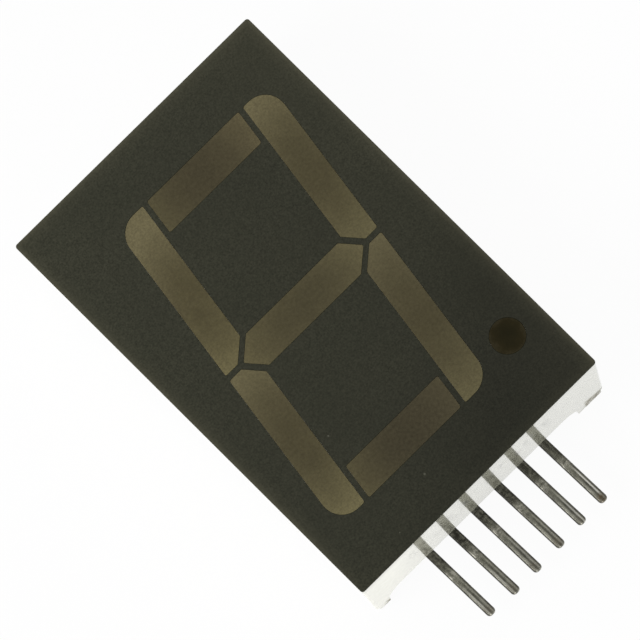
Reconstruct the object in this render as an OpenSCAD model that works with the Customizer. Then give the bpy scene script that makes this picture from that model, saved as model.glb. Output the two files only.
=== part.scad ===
// Single-digit seven segment LED display with a decimal point and one row of
// six pins in the plane of its board. It lies on its feet, face up: +Z is the
// viewing side, +Y is the top of the digit and the pins point along -Y.

/* [Body] */
// Width of the body across the digit
body_w = 25.4; // [24:0.1:30]
// Length of the body along the digit
body_l = 38.8; // [36:0.1:44]
// Height from the surface it rests on to the viewing face
body_h = 11; // [9:0.1:14]
// Thickness of the outer wall
wall_t = 1.2; // [1:0.05:1.5]
// How far the long walls lean in from the face to the back
side_draft = 0.3; // [0.1:0.01:0.35]
// How far the end walls lean in from the face to the back
end_draft = 0.1; // [0.05:0.01:0.2]
// Radius of the body's upright corners
corner_r = 0.25; // [0.15:0.05:0.5]

/* [Back edge] */
// Height of the pads that the body stands on
foot_h = 0.8; // [0.5:0.05:1.2]
// Thickness of the pads, measured in from the outer wall
foot_t = 0.9; // [0.6:0.05:1]
// Distance of the end pads from the body's corner
foot_inset = 0.6; // [0.4:0.05:1]
// Length of the pads on the long walls
side_foot_l = 1.3; // [1:0.1:3]
// Place of the pads on the long walls, as a share of the body's length
side_foot_at = 0.25; // [0.2:0.01:0.4]
// Leg beside the pin recess, digit's left, as a share of the body's width
left_leg_share = 0.067; // [0.05:0.001:0.12]
// Leg beside the pin recess, digit's right, as a share of the body's width
right_leg_share = 0.122; // [0.05:0.001:0.15]
// Radius of the recess's upper corners
recess_r = 1.6; // [0.5:0.1:1.6]

/* [Digit] */
// Distance of the digit's top and foot from the body's ends
digit_end_gap = 4.9; // [4.4:0.1:6.4]
// Distance of the digit's sides, before it is slanted, from the body's sides
digit_side_gap = 4.45; // [3.95:0.05:5.2]
// Lean of the digit to the right
slant = 8.1; // [0:0.1:9]
// Thickness of the three level bars
bar_t = 3.05; // [2.4:0.05:3.2]
// Width of the four upright bars
bar_w = 2.78; // [2.4:0.02:3]
// Gap between neighbouring bars
bar_gap = 0.48; // [0.3:0.02:0.8]
// Radius of the digit's four outer corners
digit_r = 1.7; // [0.8:0.1:2.2]
// Radius of all other corners of a bar
bar_r = 0.15; // [0.05:0.05:0.2]
// Sideways offset of the digit on the face
digit_x = -0.05; // [-0.5:0.05:0.5]
// Lengthways offset of the digit on the face
digit_y = 0.05; // [-0.5:0.05:0.5]
// Diameter of the decimal point
point_d = 2.9; // [2.4:0.1:3.2]
// Distance of the decimal point's centre from the body's side
point_side_gap = 3.4; // [3:0.1:3.7]
// Height of the decimal point's centre above the digit's foot
point_rise = 1.4; // [1.2:0.1:2]

/* [Light wells] */
// Thickness of the face film
film_t = 0.25; // [0.15:0.05:0.4]
// Clear gap between the film's windows and the bars
film_gap = 0.02; // [0.01:0.01:0.05]
// Width of a well at the board, as a share of its bar's width
well_narrow = 0.66; // [0.62:0.02:0.8]
// Length of a well at the board, as a share of its bar's length
well_short = 0.9; // [0.85:0.01:1]

/* [Board] */
// Thickness of the circuit board
board_t = 1.6; // [1.2:0.1:1.8]
// Clearance between the board and the walls around it
board_gap = 0.15; // [0.1:0.05:0.3]
// Height of the board's back face, and of the pin recess, above the rest plane
board_z = 2.5; // [2.2:0.1:3]
// Width of the ledge that the board seats on
ledge_w = 0.6; // [0.4:0.1:0.6]
// Thickness of the copper
copper_t = 0.05; // [0.03:0.01:0.07]
// Width of a copper track
track_w = 0.5; // [0.3:0.05:0.6]
// Air left between the light wells and the board
well_air = 0.1; // [0.08:0.01:0.15]
// Diameter of the plated holes between the board's two sides
via_d = 0.6; // [0.5:0.05:0.7]
// Width of the copper ring around a plated hole
via_ring = 0.2; // [0.15:0.01:0.3]
// How far a pin's copper pad runs on past the pin
pad_over = 0.4; // [0.3:0.05:0.5]
// Inside diameter of their copper barrels
barrel_bore = 0.4; // [0.3:0.05:0.45]
// Diameter of the board's pegs, as a share of the room beside the pin row
peg_share = 0.35; // [0.3:0.01:0.4]
// Clearance between a peg and its hole
peg_gap = 0.05; // [0.03:0.01:0.1]
// Diameter of a peg's melted head, as a share of the same room
peg_head_share = 0.6; // [0.55:0.01:0.7]
// Height of a peg's melted head
peg_head_h = 0.6; // [0.4:0.1:0.9]
// Gap between a peg and the ledge beside it
peg_side_gap = 0.1; // [0.05:0.05:0.3]
// Gap between a peg and the ledge at its end
peg_end_gap = 0.2; // [0.1:0.05:0.5]

/* [Light sources] */
// Width of an LED die
die_w = 0.3; // [0.25:0.01:0.35]
// Height of an LED die
die_h = 0.25; // [0.15:0.01:0.3]
// Distance from a die to its bond pad
bond_l = 0.56; // [0.5:0.02:0.6]
// Diameter of a bond wire
wire_d = 0.03; // [0.02:0.01:0.05]
// Side of the copper pad under a die
die_pad = 0.42; // [0.38:0.01:0.44]
// Radius of the space in a bar around a die and its wire
die_room_r = 0.62; // [0.6:0.01:0.65]
// Height of that space
die_room_h = 0.75; // [0.7:0.01:1]
// Place of the two dies of a level bar, as a share of its half length
level_die_share = 0.44; // [0.36:0.01:0.6]
// Place of the two dies of an upright bar, as a share of its half length
upright_die_share = 0.41; // [0.3:0.01:0.5]

/* [Pins] */
// Distance between neighbouring pins
pin_pitch = 2.54; // [2.5:0.02:2.6]
// Width of a pin
pin_w = 0.8; // [0.6:0.05:0.9]
// Thickness of a pin
pin_t = 0.5; // [0.4:0.05:0.6]
// How far the pins stand out of the body's end
pin_out = 6.8; // [4:0.1:10]
// Length of a pin that lies on the board
pin_lap = 2.6; // [2.2:0.1:3]
// Radius of a pin's long edges
pin_edge_r = 0.19; // [0.05:0.01:0.19]
// Radius of a pin's corners at its tip
pin_tip_r = 0.26; // [0.1:0.01:0.29]
// Width of the solder fillet at each side of a pin
solder_w = 0.4; // [0.3:0.05:0.5]
// Height of the bare part of a pin's sides below the solder
solder_bare = 0.1; // [0.05:0.01:0.2]
// How far the solder wraps past the pin's inner end
solder_end = 0.3; // [0.2:0.05:0.3]

/* [Hidden] */

// The pins as found: each is set so far aside of its place, leans to the digit's
// right by so many degrees, and its cut end is so much past the nominal length
pin_set = [0.13, 0, -0.06, -0.08, -0.15, -0.26];
pin_lean = [1.1, 1.7, 1.4, 1.8, 1.7, 1.4];
pin_trim = [-0.01, 0.14, 0.12, 0.03, -0.08, -0.14];
pin_count = 6;
// Sideways offset of the pin row on the board
row_x = -0.28;

// Heights
film_z = body_h - film_t;
board_top = board_z + board_t;
well_z = board_top + well_air;
die_z = board_top + copper_t;
pin_z = board_z - copper_t - pin_t;

// Half sizes of the digit, and the point where three gaps meet
half_w = body_w / 2 - digit_side_gap;
half_h = body_l / 2 - digit_end_gap;
half_bar = half_w - bar_w - bar_gap;
joint_x = half_w - bar_w / 2;
mitre = bar_gap / sqrt(2);
tip_x = joint_x - mitre;

// The origin is under the middle of the whole, pins included
reach = pin_out + max(pin_trim);
body_y = reach / 2;

big_arc = 10;
small_arc = 3;
eps = 0.01;
overrun = 1;

// Plan outline of a rounded rectangle, centred
module plate_2d(w, l, r) {
    square([w - 2 * r, l], center = true);
    square([w, l - 2 * r], center = true);
    for (sx = [-1, 1], sy = [-1, 1])
        translate([sx * (w / 2 - r), sy * (l / 2 - r)]) circle(r = r, $fn = 48);
}

// Puts what is drawn about the middle of the face in the part's own frame
module on_body() {
    translate([0, body_y, 0]) children();
}

// Points of an arc that rounds the corner b between a and c
function unit(v) = v / norm(v);
function corner(a, b, c, r, n) =
    let (u = unit(a - b), w = unit(c - b), half = acos(u * w) / 2,
         mid = b + unit(u + w) * r / sin(half),
         p = b + u * r / tan(half) - mid, q = b + w * r / tan(half) - mid,
         start = atan2(p[1], p[0]),
         turn = (atan2(q[1], q[0]) - start + 540) % 360 - 180)
    [for (i = [0:n]) mid + r * [cos(start + turn * i / n), sin(start + turn * i / n)]];

// An outline of [x, y, radius] corners, with each corner rounded
function xy(p) = [p[0], p[1]];
function rounded(o) = [for (i = [0:len(o) - 1])
    each corner(xy(o[(i + len(o) - 1) % len(o)]), xy(o[i]), xy(o[(i + 1) % len(o)]),
                o[i][2], o[i][2] > bar_r ? big_arc : small_arc)];

// The bars of an upright digit about its own middle, as [x, y, radius] corners
level_bar = [[-half_bar, half_h - bar_t, bar_r], [half_bar, half_h - bar_t, bar_r],
    [half_bar, half_h, bar_r], [-half_bar, half_h, bar_r]];
upright_bar = [[-half_w, bar_gap / 2, bar_r],
    [-joint_x - mitre + bar_gap / 2, bar_gap / 2, bar_r],
    [bar_w - half_w, bar_w - half_w + joint_x + mitre, bar_r],
    [bar_w - half_w, half_h, bar_r],
    [-half_w, half_h, digit_r]];
middle_bar = [[-tip_x, 0, bar_r], [bar_t / 2 - tip_x, bar_t / 2, bar_r],
    [tip_x - bar_t / 2, bar_t / 2, bar_r], [tip_x, 0, bar_r],
    [tip_x - bar_t / 2, -bar_t / 2, bar_r], [bar_t / 2 - tip_x, -bar_t / 2, bar_r]];
function flipped(o, sx, sy) = [for (p = o) [sx * p[0], sy * p[1], p[2]]];
bars = [level_bar, flipped(upright_bar, -1, 1), flipped(upright_bar, -1, -1),
    flipped(level_bar, 1, -1), flipped(upright_bar, 1, -1), upright_bar, middle_bar];

// Middle of each bar, and whether it stands upright
upright_x = half_w - bar_w / 2;
bar_mid = [[0, half_h - bar_t / 2], [upright_x, half_h / 2], [upright_x, -half_h / 2],
    [0, bar_t / 2 - half_h], [-upright_x, -half_h / 2], [-upright_x, half_h / 2], [0, 0]];
stands = [false, true, true, false, true, true, false];
bar_count = 7;

// A point of the upright digit, leaned and set on the face
function leaned(p) = [p[0] + p[1] * tan(slant) + digit_x, p[1] + digit_y];
point_at = [body_w / 2 - point_side_gap, digit_y - half_h + point_rise];

// The outline of bar i on the face, about that bar's middle
function bar_outline(i) = [for (p = rounded(bars[i])) leaned(p) - leaned(bar_mid[i])];

// Space that bar i fills: straight through the film, then narrowing to the board
module bar_space(i, extra) {
    narrow = stands[i] ? [well_narrow, well_short] : [well_short, well_narrow];
    translate(leaned(bar_mid[i])) {
        translate([0, 0, film_z]) linear_extrude(film_t + extra) polygon(bar_outline(i));
        translate([0, 0, film_z]) mirror([0, 0, 1])
            linear_extrude(film_z - well_z, scale = narrow) polygon(bar_outline(i));
    }
}

// The same for the round decimal point
module point_space(extra) {
    translate([point_at[0], point_at[1], 0]) {
        translate([0, 0, film_z]) cylinder(h = film_t + extra, d = point_d, $fn = 64);
        translate([0, 0, well_z])
            cylinder(h = film_z - well_z, d1 = point_d * well_narrow, d2 = point_d, $fn = 64);
    }
}

// Where the dies sit: [x, y, direction of the bond wire]
function die_places(i) = stands[i]
    ? [for (s = [-1, 1]) let (p = leaned(bar_mid[i] + [0, s * upright_die_share * half_h / 2]))
       [p[0], p[1], 90]]
    : [for (s = [-1, 1]) let (p = leaned(bar_mid[i] + [s * level_die_share * half_bar, 0]))
       [p[0], p[1], 0]];
point_die = [[point_at[0], point_at[1], 0]];

// Outer form of the body below the film, with its drafted walls
module body_block() {
    // four leaning corner posts, joined by one skin
    hull() for (sx = [-1, 1], sy = [-1, 1])
        translate([sx * (body_w / 2 - corner_r), sy * (body_l / 2 - corner_r), film_z]) {
            mirror([0, 0, 1]) cylinder(h = eps, r = corner_r, $fn = 32);
            translate([-sx * side_draft, -sy * end_draft, foot_h - film_z])
                cylinder(h = eps, r = corner_r, $fn = 32);
        }
}

// Pads under the back edge that the body stands on
inner_w = body_w - 2 * (side_draft + wall_t);
inner_l = body_l - 2 * (end_draft + wall_t);
module foot(x, y, along_x, len) {
    size = along_x ? [len, foot_t] : [foot_t, len];
    translate([x - size[0] / 2, y - size[1] / 2, 0]) cube([size[0], size[1], foot_h + eps]);
}
foot_x = body_w / 2 - side_draft - foot_t / 2;
foot_y = body_l / 2 - end_draft - foot_t / 2;
left_leg_w = left_leg_share * body_w;
right_leg_w = right_leg_share * body_w;
left_foot_l = left_leg_w - foot_inset;
right_foot_l = right_leg_w - foot_inset;
module feet() {
    for (sy = [-1, 1]) {
        foot(left_leg_w - left_foot_l / 2 - body_w / 2, sy * foot_y, true, left_foot_l);
        foot(body_w / 2 - right_leg_w + right_foot_l / 2, sy * foot_y, true, right_foot_l);
        for (sx = [-1, 1])
            foot(sx * foot_x, sy * (0.5 - side_foot_at) * body_l, false, side_foot_l);
    }
}

// Opening in the bottom wall that lets the pins out
module pin_recess() {
    x0 = left_leg_w - body_w / 2;
    x1 = body_w / 2 - right_leg_w;
    translate([0, overrun - inner_l / 2, 0]) rotate([90, 0, 0])
        linear_extrude(wall_t + 2 * overrun) {
            translate([x0 + recess_r, 0]) square([x1 - x0 - 2 * recess_r, board_z]);
            translate([x0, -overrun]) square([x1 - x0, board_z - recess_r + overrun]);
            for (x = [x0 + recess_r, x1 - recess_r])
                translate([x, board_z - recess_r]) circle(r = recess_r, $fn = 64);
        }
}

row_half_w = (pin_count - 1) / 2 * pin_pitch + pin_w / 2 + solder_w - row_x;
peg_d = peg_share * (inner_w / 2 - row_half_w);
peg_head_d = peg_head_share * (inner_w / 2 - row_half_w);
peg_x = inner_w / 2 - ledge_w - peg_side_gap - peg_d / 2;
peg_y = inner_l / 2 - ledge_w - peg_end_gap - peg_d / 2;
module at_pegs() {
    for (sx = [-1, 1], sy = [-1, 1]) translate([sx * peg_x, sy * peg_y, 0]) children();
}

// Moulded reflector box: walls, light wells, board ledge, pegs and pads
module housing() {
    color("whitesmoke") on_body() {
        difference() {
            body_block();
            // room for the board, open at the back
            translate([-inner_w / 2, -inner_l / 2, -overrun])
                cube([inner_w, inner_l, board_top + overrun]);
            // air over the copper, inside the ledge
            translate([ledge_w - inner_w / 2, ledge_w - inner_l / 2, 0])
                cube([inner_w - 2 * ledge_w, inner_l - 2 * ledge_w, well_z]);
            pin_recess();
            for (i = [0:bar_count - 1]) bar_space(i, overrun);
            point_space(overrun);
        }
        feet();
        at_pegs() {
            translate([0, 0, board_z - eps])
                cylinder(h = board_t + well_air + 2 * eps, d = peg_d, $fn = 48);
            peg_head();
        }
    }
}

// Melted head of a peg: a shallow dome with a short straight rim
module peg_head() {
    rim = peg_head_h / 3;
    translate([0, 0, board_z - rim]) cylinder(h = rim, d = peg_head_d, $fn = 48);
    rise = peg_head_h - rim;
    dome_r = (pow(peg_head_d / 2, 2) + rise * rise) / (2 * rise);
    translate([0, 0, board_z - rim]) intersection() {
        translate([0, 0, dome_r - rise]) sphere(r = dome_r, $fn = 96);
        translate([0, 0, -rise]) cylinder(h = rise, d = peg_head_d, $fn = 48);
    }
}

// Dark film on the front, with a window for each bar and the point
module face_film() {
    color("#33342e") on_body() translate([0, 0, film_z]) linear_extrude(film_t) difference() {
        plate_2d(body_w, body_l, corner_r);
        for (i = [0:bar_count - 1]) translate(leaned(bar_mid[i]))
            offset(delta = film_gap) polygon(bar_outline(i));
        translate(point_at) circle(d = point_d + 2 * film_gap, $fn = 64);
    }
}

// Room in a bar for a die and its wire
module die_rooms(places) {
    for (p = places) translate([p[0], p[1], well_z - eps])
        cylinder(h = die_room_h, r = die_room_r, $fn = 32);
}

// Tinted resin cast into a well
module segment(i) {
    color("#5c543e") on_body() difference() {
        bar_space(i, 0);
        die_rooms(die_places(i));
    }
}
module decimal_point() {
    color("#2a2318") on_body() difference() {
        point_space(0);
        die_rooms(point_die);
    }
}

// LED dies on their pads
module dies(places) {
    color("#c8b88a") on_body() for (p = places)
        translate([p[0], p[1], die_z]) rotate([0, 0, p[2]])
            translate([-bond_l / 2, 0, die_h / 2]) cube([die_w, die_w, die_h], center = true);
}

// Bond wires: half a loop from the die's top, then straight down to the pad
module wires(places) {
    top = die_z + die_h;
    color("gold") on_body() for (p = places)
        translate([p[0], p[1], top]) rotate([0, 0, p[2]]) {
            rotate([90, 0, 0]) rotate_extrude(angle = 180, $fn = 64)
                translate([bond_l / 2, 0]) circle(d = wire_d, $fn = 16);
            translate([bond_l / 2, 0, -die_h]) cylinder(h = die_h, d = wire_d, $fn = 16);
        }
}

// Two commons and four lines drive eight LEDs. Each net has a bus on the back,
// straight above its pin, and short stubs on the front that a plated hole joins.
function bus_x(k) = row_x + (k - (pin_count - 1) / 2) * pin_pitch;
// Ends of each light source: [bar, end, bus, first leg along Y]
stub_l = 1.3;
stubs = [
    [0, -1, 1, 0], [0, 1, 2, -stub_l],
    [1, 1, 5, 0], [1, -1, 2, 0],
    [2, -1, 5, 0], [2, 1, 3, 0],
    [3, -1, 1, 0], [3, 1, 3, stub_l],
    [4, -1, 0, 0], [4, 1, 3, 0],
    [5, 1, 0, 0], [5, -1, 2, 0],
    [6, 1, 4, 0], [6, -1, 2, -stub_l],
    [7, -1, 3, stub_l], [7, 1, 4, -stub_l]];
function places_of(i) = i < bar_count ? die_places(i) : point_die;
function end_of(s) = let (all = places_of(s[0]), p = all[s[1] > 0 ? len(all) - 1 : 0],
    r = s[1] * bond_l / 2) [p[0] + r * cos(p[2]), p[1] + r * sin(p[2])];
function via_of(s) = [bus_x(s[2]), end_of(s)[1] + s[3]];
// Bottom edge of the board, and the top of the copper pads that the pins lie on
board_foot_y = -inner_l / 2 + board_gap;
pad_top_y = board_foot_y + pin_lap + pad_over;

// A straight track between two points, with round ends
module track_2d(a, b) {
    d = b - a;
    translate(a) {
        circle(d = track_w, $fn = 24);
        rotate(atan2(d[1], d[0])) translate([0, -track_w / 2]) square([norm(d), track_w]);
    }
    translate(b) circle(d = track_w, $fn = 24);
}

module front_tracks() {
    color("goldenrod") on_body() translate([0, 0, board_top])
    linear_extrude(copper_t) difference() {
        union() {
            for (i = [0:bar_count], p = places_of(i)) translate([p[0], p[1]]) rotate(p[2])
                for (s = [-1, 1]) translate([s * bond_l / 2, 0]) square(die_pad, center = true);
            // the link between the two dies of a bar
            for (i = [0:bar_count - 1]) let (p = die_places(i), r = bond_l / 2)
                track_2d([p[0][0] + r * cos(p[0][2]), p[0][1] + r * sin(p[0][2])],
                         [p[1][0] - r * cos(p[1][2]), p[1][1] - r * sin(p[1][2])]);
            for (s = stubs) let (e = end_of(s), v = via_of(s)) {
                if (s[3] != 0) track_2d(e, [e[0], v[1]]);
                track_2d([e[0], v[1]], v);
                translate(v) circle(d = via_d + 2 * via_ring, $fn = 32);
            }
        }
        for (s = stubs) translate(via_of(s)) circle(d = barrel_bore, $fn = 24);
    }
}

module back_tracks() {
    color("goldenrod") on_body() translate([0, 0, board_z - copper_t])
    linear_extrude(copper_t) difference() {
        union() {
            for (k = [0:pin_count - 1]) {
                top = max([for (s = stubs) if (s[2] == k) via_of(s)[1]]);
                translate([bus_x(k) + pin_set[k] - pin_w / 2 - solder_w, board_foot_y + board_gap])
                    square([pin_w + 2 * solder_w, pad_top_y - board_foot_y - board_gap]);
                track_2d([bus_x(k), pad_top_y], [bus_x(k), top]);
            }
            for (s = stubs) translate(via_of(s)) circle(d = via_d + 2 * via_ring, $fn = 32);
        }
        for (s = stubs) translate(via_of(s)) circle(d = barrel_bore, $fn = 24);
    }
}

module via_barrels() {
    color("peru") on_body() for (s = stubs) let (v = via_of(s)) translate([v[0], v[1], board_z])
        difference() {
            cylinder(h = board_t, d = via_d, $fn = 24);
            translate([0, 0, -overrun]) cylinder(h = board_t + 2 * overrun, d = barrel_bore, $fn = 24);
        }
}

// Board that closes the back: it seats on the ledge, and the pegs pass through it
module circuit_board() {
    w = inner_w - 2 * board_gap;
    l = inner_l - 2 * board_gap;
    color("darkolivegreen") on_body() translate([0, 0, board_z]) difference() {
        translate([-w / 2, -l / 2, 0]) cube([w, l, board_t]);
        at_pegs() translate([0, 0, -overrun])
            cylinder(h = board_t + 2 * overrun, d = peg_d + 2 * peg_gap, $fn = 48);
        for (s = stubs) let (v = via_of(s)) translate([v[0], v[1], -overrun])
            cylinder(h = board_t + 2 * overrun, d = via_d, $fn = 24);
    }
}

// Pins: flat leads that lie on the board's back and run out through the recess
module at_pin(k) {
    on_body() translate([bus_x(k) + pin_set[k], board_foot_y + pin_lap, pin_z])
        rotate([0, 0, pin_lean[k]]) children();
}
module pin_form(k) {
    len = pin_lap + end_draft + wall_t + board_gap + pin_out + pin_trim[k];
    r = pin_edge_r;
    t = pin_tip_r;
    intersection() {
        // section along the pin
        translate([0, 0, pin_t / 2]) rotate([90, 0, 0]) linear_extrude(len) plate_2d(pin_w, pin_t, r);
        // plan, with its tip corners rounded
        linear_extrude(pin_t) {
            translate([-pin_w / 2, t - len]) square([pin_w, len - t]);
            translate([t - pin_w / 2, -len]) square([pin_w - 2 * t, len]);
            for (s = [-1, 1]) translate([s * (pin_w / 2 - t), t - len]) circle(r = t, $fn = 32);
        }
    }
}
module pin(k) {
    color("#77766f") at_pin(k) pin_form(k);
}

// Solder that fills both sides of a pin and wraps its inner end
module solder(k) {
    w = pin_w / 2 + solder_w;
    color("silver") at_pin(k) difference() {
        translate([0, solder_end, 0]) rotate([90, 0, 0]) linear_extrude(pin_lap - pad_over + solder_end)
            polygon([[-w, pin_t], [-pin_w / 2, solder_bare], [pin_w / 2, solder_bare], [w, pin_t]]);
        pin_form(k);
    }
}

housing();
face_film();
segment(0);  // segment_a
segment(1);  // segment_b
segment(2);  // segment_c
segment(3);  // segment_d
segment(4);  // segment_e
segment(5);  // segment_f
segment(6);  // segment_g
decimal_point();
circuit_board();
front_tracks();
back_tracks();
via_barrels();
dies(die_places(0));  // led_dies_a
dies(die_places(1));  // led_dies_b
dies(die_places(2));  // led_dies_c
dies(die_places(3));  // led_dies_d
dies(die_places(4));  // led_dies_e
dies(die_places(5));  // led_dies_f
dies(die_places(6));  // led_dies_g
dies(point_die);  // led_die_point
wires(die_places(0));  // bond_wires_a
wires(die_places(1));  // bond_wires_b
wires(die_places(2));  // bond_wires_c
wires(die_places(3));  // bond_wires_d
wires(die_places(4));  // bond_wires_e
wires(die_places(5));  // bond_wires_f
wires(die_places(6));  // bond_wires_g
wires(point_die);  // bond_wire_point
pin(0);  // pin_1
pin(1);  // pin_2
pin(2);  // pin_3
pin(3);  // pin_4
pin(4);  // pin_5
pin(5);  // pin_6
solder(0);  // solder_1
solder(1);  // solder_2
solder(2);  // solder_3
solder(3);  // solder_4
solder(4);  // solder_5
solder(5);  // solder_6
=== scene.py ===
# %% [markdown]
# A single-digit seven segment display, lying face up.
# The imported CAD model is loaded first, as a fixed frame: every piece made here is in metres and
# sits where the frame says. The six pins point along -Y and the viewing face looks up, along +Z.

# %% Load the frame
import math

import bmesh
import bpy
from mathutils import Matrix, Vector


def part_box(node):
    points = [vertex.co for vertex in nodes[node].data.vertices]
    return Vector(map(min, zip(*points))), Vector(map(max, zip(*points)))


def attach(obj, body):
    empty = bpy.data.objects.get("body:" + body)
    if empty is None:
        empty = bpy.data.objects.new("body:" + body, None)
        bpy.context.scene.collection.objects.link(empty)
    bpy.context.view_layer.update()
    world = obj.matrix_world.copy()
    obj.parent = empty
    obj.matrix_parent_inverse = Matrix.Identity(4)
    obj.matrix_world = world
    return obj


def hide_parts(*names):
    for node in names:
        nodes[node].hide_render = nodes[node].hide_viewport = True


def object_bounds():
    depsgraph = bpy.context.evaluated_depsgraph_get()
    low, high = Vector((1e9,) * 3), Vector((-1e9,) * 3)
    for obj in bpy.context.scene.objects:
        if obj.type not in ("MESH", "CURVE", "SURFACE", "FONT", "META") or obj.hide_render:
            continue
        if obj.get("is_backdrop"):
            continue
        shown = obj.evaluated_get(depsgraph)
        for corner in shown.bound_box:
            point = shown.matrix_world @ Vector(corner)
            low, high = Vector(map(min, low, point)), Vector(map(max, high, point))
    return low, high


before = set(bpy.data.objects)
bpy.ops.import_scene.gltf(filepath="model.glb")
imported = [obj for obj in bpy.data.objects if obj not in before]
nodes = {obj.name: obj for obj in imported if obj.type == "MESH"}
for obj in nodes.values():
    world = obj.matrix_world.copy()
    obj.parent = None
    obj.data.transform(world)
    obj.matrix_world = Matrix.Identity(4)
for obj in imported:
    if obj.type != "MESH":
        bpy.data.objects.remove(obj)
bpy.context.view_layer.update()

bpy.ops.object.select_all(action="DESELECT")

# %% [markdown]
# ## Sizes
# Everything is drawn in millimetres and turned into metres by one factor, so that the numbers
# read like those on a drawing. The middle of the body is not the origin, because the pins
# stick out on one side, so its place is read from the frame.

# %% Sizes that the pieces share
MM = 0.001
DIGIT_LEAN = 8.1  # degrees
face_low, face_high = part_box("face_film")
BODY_Y = (face_low.y + face_high.y) / 2
BODY_MIDDLE = Vector((0, BODY_Y, 0))
BODY_W = face_high.x - face_low.x
BODY_L = face_high.y - face_low.y
BODY_H = face_high.z
FILM_Z = face_low.z
SLANT = math.tan(math.radians(DIGIT_LEAN))
print("body in mm: %.1f x %.1f x %.1f" % (BODY_W / MM, BODY_L / MM, BODY_H / MM))

# %% [markdown]
# ## Camera
# The photograph looks down on the face from a long way off, tilted a little so that the wall
# with the pins shows below it, and the display lies diagonally in the picture. A camera could
# be aimed with a constraint, but three turns and a distance are easier to match to a picture:
# the roll turns the digit, and the two tilts show the bottom wall and a hint of the left one.

# %% Camera
TILT, SIDE_TILT, ROLL = -11.80, 3.23, 44.59  # degrees
DISTANCE, ASIDE, UP = 0.937, -0.00006, -0.00078  # metres
FOCAL_PIXELS, PICTURE, SENSOR = 11968, 640, 36  # pixels, pixels and millimetres

turn = (Matrix.Rotation(math.radians(ROLL), 3, "Z") @ Matrix.Rotation(math.radians(SIDE_TILT), 3, "Y")
        @ Matrix.Rotation(math.radians(TILT), 3, "X"))
place = turn.transposed() @ Vector((-ASIDE, -UP, DISTANCE)) + BODY_MIDDLE
bpy.ops.object.camera_add(location=place)
camera = bpy.context.object
camera.rotation_euler = turn.transposed().to_euler()
camera.data.sensor_width = SENSOR
camera.data.lens = FOCAL_PIXELS / PICTURE * SENSOR
camera.data.clip_start, camera.data.clip_end = 0.01, 10
bpy.context.scene.camera = camera
print("camera at", [round(v, 3) for v in place], "lens %.0f mm" % camera.data.lens)

# %% [markdown]
# ## Light and floor
# The picture was taken on a white ground that is so bright that it shows no shade. Soft light
# comes from all round, with large lamps above, so shadows stay weak. The floor is seen by the
# camera, and by whatever mirrors it, as nearly pure white: a Light Path node mixes some plain
# white into it for those rays only, so it lights the object like any pale floor and still
# keeps a soft shadow.

# %% Node helpers
def start_material(name):
    """A new material, with its node tree and its Principled shader."""
    material = bpy.data.materials.new(name)
    material.use_nodes = True
    return material, material.node_tree, material.node_tree.nodes["Principled BSDF"]


def fill(tree, made, inputs):
    """Gives sockets of a node, by name or number, a value each or another node's output."""
    for key, value in inputs.items():
        if isinstance(value, bpy.types.NodeSocket):
            tree.links.new(value, made.inputs[key])
        else:
            made.inputs[key].default_value = value


def node(tree, kind, inputs=None, **settings):
    """Adds a node with these settings, and fills its sockets."""
    made = tree.nodes.new("ShaderNode" + kind)
    for key, value in settings.items():
        setattr(made, key, value)
    fill(tree, made, inputs or {})
    return made


print("node helpers ready")

# %% Sums of numbers and sockets
def math_node(tree, operation, a, b=0.0):
    """The result of one sum."""
    return node(tree, "Math", {0: a, 1: b}, operation=operation).outputs[0]


def times(tree, first, *others):
    """The product of them all."""
    for other in others:
        first = math_node(tree, "MULTIPLY", first, other)
    return first


def plus(tree, first, *others, clamp=False):
    """The sum of them all, which clamp keeps between 0 and 1."""
    for other in others:
        first = math_node(tree, "ADD", first, other)
    first.node.use_clamp = clamp
    return first


def minus(tree, first, second):
    """The difference of two."""
    return math_node(tree, "SUBTRACT", first, second)


def off(tree, value, place=0):
    """How far a coordinate is from a place given in mm: in metres, and never negative."""
    return math_node(tree, "ABSOLUTE", minus(tree, value, place * MM))


def ramp(tree, value, start, end, most=1.0):
    """0 up to start and most from end on, both in millimetres, and straight between them."""
    return node(tree, "MapRange", {"Value": value, "From Min": start * MM, "From Max": end * MM,
                                   "To Max": most}).outputs[0]


def between(tree, share, low, high):
    """low where share is 0, and high where it is 1."""
    return node(tree, "MapRange", {"Value": share, "To Min": low, "To Max": high}).outputs[0]


print("sums ready")

# %% Places, patterns and colours
def spot(tree):
    """Where on the object a point is, in metres."""
    return node(tree, "TexCoord").outputs["Object"]


def shifted(tree, where, origin):
    """The same point, measured from that origin."""
    return node(tree, "VectorMath", {0: where, 1: origin}, operation="SUBTRACT").outputs[0]


def xyz(tree, where):
    """Its three coordinates."""
    return node(tree, "SeparateXYZ", {0: where}).outputs


def grain(tree, where, size_mm, detail=2.0, rough=0.5, low=0.3, high=0.7):
    """Noise with features of that size, spread to run from 0 to 1."""
    noise = node(tree, "TexNoise", {"Vector": where, "Scale": 1 / (size_mm * MM), "Detail": detail,
                                    "Roughness": rough})
    return node(tree, "MapRange", {"Value": noise.outputs["Fac"], "From Min": low, "From Max": high}).outputs[0]


def wobble(tree, where, size_mm, amount):
    """Noise of that size that adds or takes away up to half the amount."""
    return times(tree, minus(tree, grain(tree, where, size_mm, detail=3), 0.5), amount)


def bump(tree, strength, depth_mm, height):
    """A bumped normal: how strong, how deep, and from which height."""
    return node(tree, "Bump", {"Strength": strength, "Distance": depth_mm * MM, "Height": height}).outputs[0]


def mix_colour(tree, amount, first, second):
    """Goes from the first colour to the second as amount goes from 0 to 1."""
    first, second = (c if isinstance(c, bpy.types.NodeSocket) else (*c, 1) for c in (first, second))
    return node(tree, "Mix", {0: amount, 6: first, 7: second}, data_type="RGBA").outputs[2]


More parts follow.
